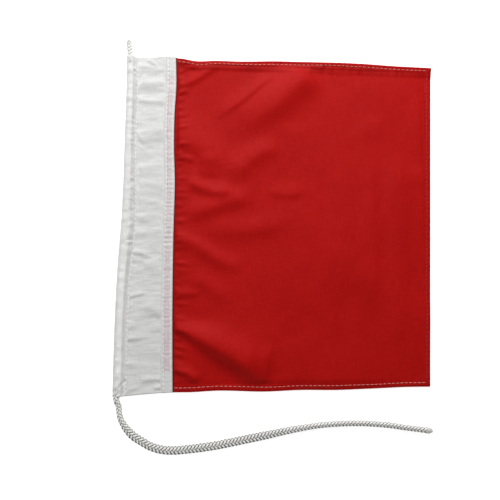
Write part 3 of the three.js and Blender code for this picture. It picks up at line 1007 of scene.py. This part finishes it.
def sew_the_hems(thread, edge_thread):
    """A row along each hem, with the same row a half step on showing underneath."""
    x = np.arange(3.5, FLY - HEM_ROW, STITCH_PITCH)
    top_row = HOIST - HEM_ROW + TOP_ROW_SHIFT
    rows = (("top_hem_stitches", "top_hem_stitching", top_row, 5),
            ("bottom_hem_stitches", "bottom_hem_stitching", HEM_ROW, 6))
    half_step = STITCH_PITCH / 2
    for name, node, height, seed in rows:
        points = np.stack([x, height + wander(x, 0.2, seed)], -1)
        sew(name, node, thread, points, on_fly, "seam")
        sew(name + "_back", None, thread, points + [half_step, 0], under_fly, "seam",
            lift=-0.1)
    y = np.arange(HEM_ROW + 1, HOIST - HEM_ROW, STITCH_PITCH)
    points = np.stack([FLY - HEM_ROW + wander(y, 0.2, 7), y], -1)
    sew("fly_hem_stitches", "fly_hem_stitching", edge_thread, points, on_fly, "fly")
    sew("fly_hem_stitches_back", None, edge_thread, points + [0, half_step], under_fly,
        "fly", lift=-0.1)


# ---------------------------------------------------------------- rope

STRANDS = 6              # strands each way round
LAY = 18.4               # length of rope in which a strand goes once round
STRAND_WIDTH = 1.68
STRAND_THICKNESS = 1.16
STRAND_SIDES = 10
WEAVE_DEPTH = 0.40       # how far a strand rises and dips from its middle height


def braid(path, half_width, half_height):
    """A hollow braid of two sets of strands round a path, over two and under two. A strand's
    turn at distance s is 2 pi (k / STRANDS + s / LAY), or minus that, round an ellipse, and
    it rises and dips by WEAVE_DEPTH as it passes over and under the other set. Its yarn gets
    painted shade where it dips and at its own edges, and more painted shade at the rope's two
    rims and on the side that faces the flag's foot."""
    _, aside, up = path_frames(path)
    s = distance_along(path)
    section = round_angles(STRAND_SIDES)
    edge = 1 - np.clip(np.sin(section), 0, 1)[None]
    parts, painted_shades, cloth = [], [], []
    for way in (1, -1):
        for k in range(STRANDS):
            turn = way * 2 * np.pi * (k / STRANDS + s / LAY)
            crossing = 2 * STRANDS * s / LAY
            lift = way * np.cos(np.pi / 2 * (2 * k + way * crossing - 0.5))
            grow = WEAVE_DEPTH * (lift - 1) - STRAND_THICKNESS / 2
            a, b = half_width + grow, half_height + grow
            middle = path + (a * np.cos(turn))[:, None] * aside + (b * np.sin(turn))[:, None] * up
            out = unit((np.cos(turn) / half_width)[:, None] * aside
                       + (np.sin(turn) / half_height)[:, None] * up)
            across = unit(np.cross(out, unit(np.gradient(middle, axis=0))))
            ring = oval(section, across[:, None] * STRAND_WIDTH / 2,
                        out[:, None] * STRAND_THICKNESS / 2)
            parts.append(closed_tube(middle[:, None] + ring))
            # painted shade: where the strand dips under the other set, at its edges, at the rope's rims
            # and on its side towards the flag's foot
            hidden = 0.5 - 0.5 * lift[:, None]
            rim = ease((np.abs(np.cos(turn)) - 0.55) / 0.4)[:, None]
            footward = ease((-out[:, 1:2] - 0.15) / 0.50)
            dark = 2.4 * hidden - 0.72 + 0.9 * edge ** 2 + 0.20 * rim + 0.58 * footward
            painted_shades.append(np.r_[np.clip(dark, 0, 1).ravel(), 0.6, 0.6])
            flat = np.stack([np.repeat(s * MM + k * 0.013, STRAND_SIDES),
                             np.tile(section / (2 * np.pi) * 0.001, len(s)),
                             np.full(STRAND_SIDES * len(s), 0.01 * way)], -1)
            cloth.append(np.concatenate([flat, flat[:1], flat[-1:]]))
    return gather(parts), {"painted_shade_and_tip_tone": np.concatenate(painted_shades), "cloth": np.concatenate(cloth)}


def rope_in_sleeve(y):
    """The middle of the rope at height y, in the sleeve and where it stands out above."""
    across, _ = laid(np.full_like(y, ROPE_X), np.clip(y, 0, HOIST))
    lean = np.clip(y - HOIST, 0, None)
    return np.stack([across - 0.09 * lean, y, np.full_like(y, ROPE_Z)], -1)


def taper_to_tip(distance_from_end, full):
    """Half width that narrows to the sealed tip over the last 2.2 mm."""
    return TIP_RADIUS + (full - TIP_RADIUS) * ease(distance_from_end / 2.2) ** 0.6


def hoist_rope(yarn):
    """Braided rope through the sleeve and out above the heading."""
    path = rope_in_sleeve(even_steps(-ROPE_BELOW, HOIST + ROPE_ABOVE, 0.75))
    from_end = np.linalg.norm(path - path[-1], axis=1)
    half = taper_to_tip(from_end, ROPE_RADIUS - 0.2 * ease((path[:, 1] - HOIST) / 3))
    shape, attributes = braid(path, half, half)
    piece = make_piece("hoist_rope_braid", shape, yarn, attributes)
    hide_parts("hoist_rope")
    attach(piece, "hoist")


def whipping(name, node, ends, radius, finish):
    """Twine wound round the rope, turn beside turn, on the straight stretch between two ends."""
    turns, steps, sides = 6, 26, 8
    t = np.linspace(0, 1, turns * steps)
    line = ends[0] + t[:, None] * (ends[1] - ends[0])
    ahead, aside, up = path_frames(line)
    angle = 2 * np.pi * turns * t
    twine = np.linalg.norm(ends[1] - ends[0]) / turns / 2
    out = np.cos(angle)[:, None] * aside + np.sin(angle)[:, None] * up
    middle = line + (radius + twine * 0.7) * out
    section = round_angles(sides)
    ring = oval(section, ahead[:, None], out[:, None])
    shape = closed_tube(middle[:, None] + twine * ring[:, ::-1])
    flat = np.zeros((len(shape[0]), 3))
    flat[:len(t) * sides, 0] = np.repeat(t * turns * 2 * np.pi * radius * MM, sides)
    flat[:len(t) * sides, 1] = np.tile(section / (2 * np.pi), len(t))
    piece = make_piece(name, shape, finish, {"cloth": flat})
    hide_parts(node)
    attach(piece, "hoist")
    return piece


def sealed_tip(name, end, direction, finish, radius):
    """The rope's heat-sealed end: a low dome, radius * sqrt(1 - t^2) at height t."""
    t = np.sin(np.linspace(-0.9, np.pi / 2 - 0.12, 10))
    reach = radius * np.sqrt(1 - t ** 2)
    direction = unit(direction)
    aside = unit(np.cross([0, 0, 1.0], direction))
    ring = oval(round_angles(20), aside, np.cross(direction, aside))
    middle = end + np.outer(t * radius * 0.4, direction)
    shape = closed_tube(middle[:, None] + reach[:, None, None] * ring)
    count = len(shape[0])
    # the tip is mixed a quarter of the way towards the dark yarn colour all over
    piece = make_piece(name, shape, finish,
                       {"cloth": np.zeros((count, 3)), "painted_shade_and_tip_tone": np.full(count, 0.25)})
    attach(piece, "hoist")
    return piece


def rope_tail(yarn, twine):
    """The free end: round where it leaves the sleeve, pressed flat round the bend, and round
    again towards its whipped end. It lies on the surface except where its two ends are held
    up, by the sleeve and by the whipping."""
    leaves = rope_in_sleeve(np.array([-ROPE_BELOW, -ROPE_BELOW - 3.8]))
    path = smooth_line(np.concatenate([leaves, np.array(TAIL_ROUTE) / MM]), 600)
    s = distance_along(path)
    from_end = s[-1] - s
    flat = ease((s - 14) / 26) * ease((205 - s) / 65)
    half_width = taper_to_tip(from_end, ROPE_RADIUS + 0.18 + 1.15 * flat)
    half_height = taper_to_tip(from_end, ROPE_RADIUS - 0.80 * flat)
    held_up = np.clip(ease((12 - s) / 8) + ease((16 - from_end) / 8), 0, 1)
    rest = half_height + 0.1
    path[:, 2] = rest + (path[:, 2] - rest) * held_up
    shape, attributes = braid(path, half_width, half_height)
    piece = make_piece("rope_tail_braid", shape, yarn, attributes)
    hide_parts("rope_tail")
    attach(piece, "hoist")
    ahead = unit(path[-1] - path[-8])
    band = np.array([path[-1] - 5.2 * ahead, path[-1] - 2.2 * ahead])
    wound = whipping("tail_whipping_twine", "tail_whipping", band, ROPE_RADIUS - 0.1, twine)
    tip = sealed_tip("tail_rope_tip", path[-1], ahead, yarn, TIP_RADIUS + 0.4)


def top_end(yarn, twine):
    """The whipped and sealed end above the heading."""
    ends = rope_in_sleeve(HOIST + ROPE_ABOVE - np.array([3.2, 0.8, 0.3]))
    whipping("top_whipping_twine", "top_whipping", ends[:2], ROPE_RADIUS - 0.6, twine)
    sealed_tip("top_rope_tip", ends[2], ends[2] - ends[1], yarn, TIP_RADIUS + 0.5)


def rope_tacks(finish):
    """Tacks through the sleeve inside its mouths: two stitches that lean together."""
    for name, node, height in (("top_rope_tack_stitches", "top_rope_tack", HOIST - 6.0),
                               ("bottom_rope_tack_stitches", "bottom_rope_tack", 6.0)):
        across, up = laid(np.array([ROPE_X - 0.3, ROPE_X + 1.3]), np.full(2, height))
        top = ROPE_Z + ROPE_RADIUS + CANVAS + 0.35
        places = np.stack([across, up, np.full(2, top)], -1)
        directions = np.array([[0.50, 1.0, 0.0], [-0.50, 1.0, 0.0]])
        shape, cloth = stitch_row(places, directions, 3.0, 0.40, 0.03)
        piece = make_piece(name, shape, finish, {"cloth": cloth})
        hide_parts(node)
        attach(piece, "hoist")


# ---------------------------------------------------------------- the flag

place_camera()
YARN = braided_yarn()
TWINE = waxed_twine()
rope_tail(YARN, TWINE)
hoist_rope(YARN)
top_end(YARN, TWINE)
lay_floor()
light_the_studio()
BUNTING = red_bunting()
red_cloth(BUNTING)
hems(BUNTING)
canvas_heading(white_canvas())
sew_the_heading(sewing_thread("canvas thread", (0.78, 0.78, 0.77), (0.97, 0.97, 0.96)))
sew_the_hems(sewing_thread("hem thread", (0.60, 0.13, 0.11), (0.80, 0.33, 0.30)),
             sewing_thread("edge thread", (0.36, 0.008, 0.007), (0.46, 0.022, 0.018)))
rope_tacks(sewing_thread("tack thread", (0.46, 0.46, 0.44), (0.64, 0.64, 0.62)))
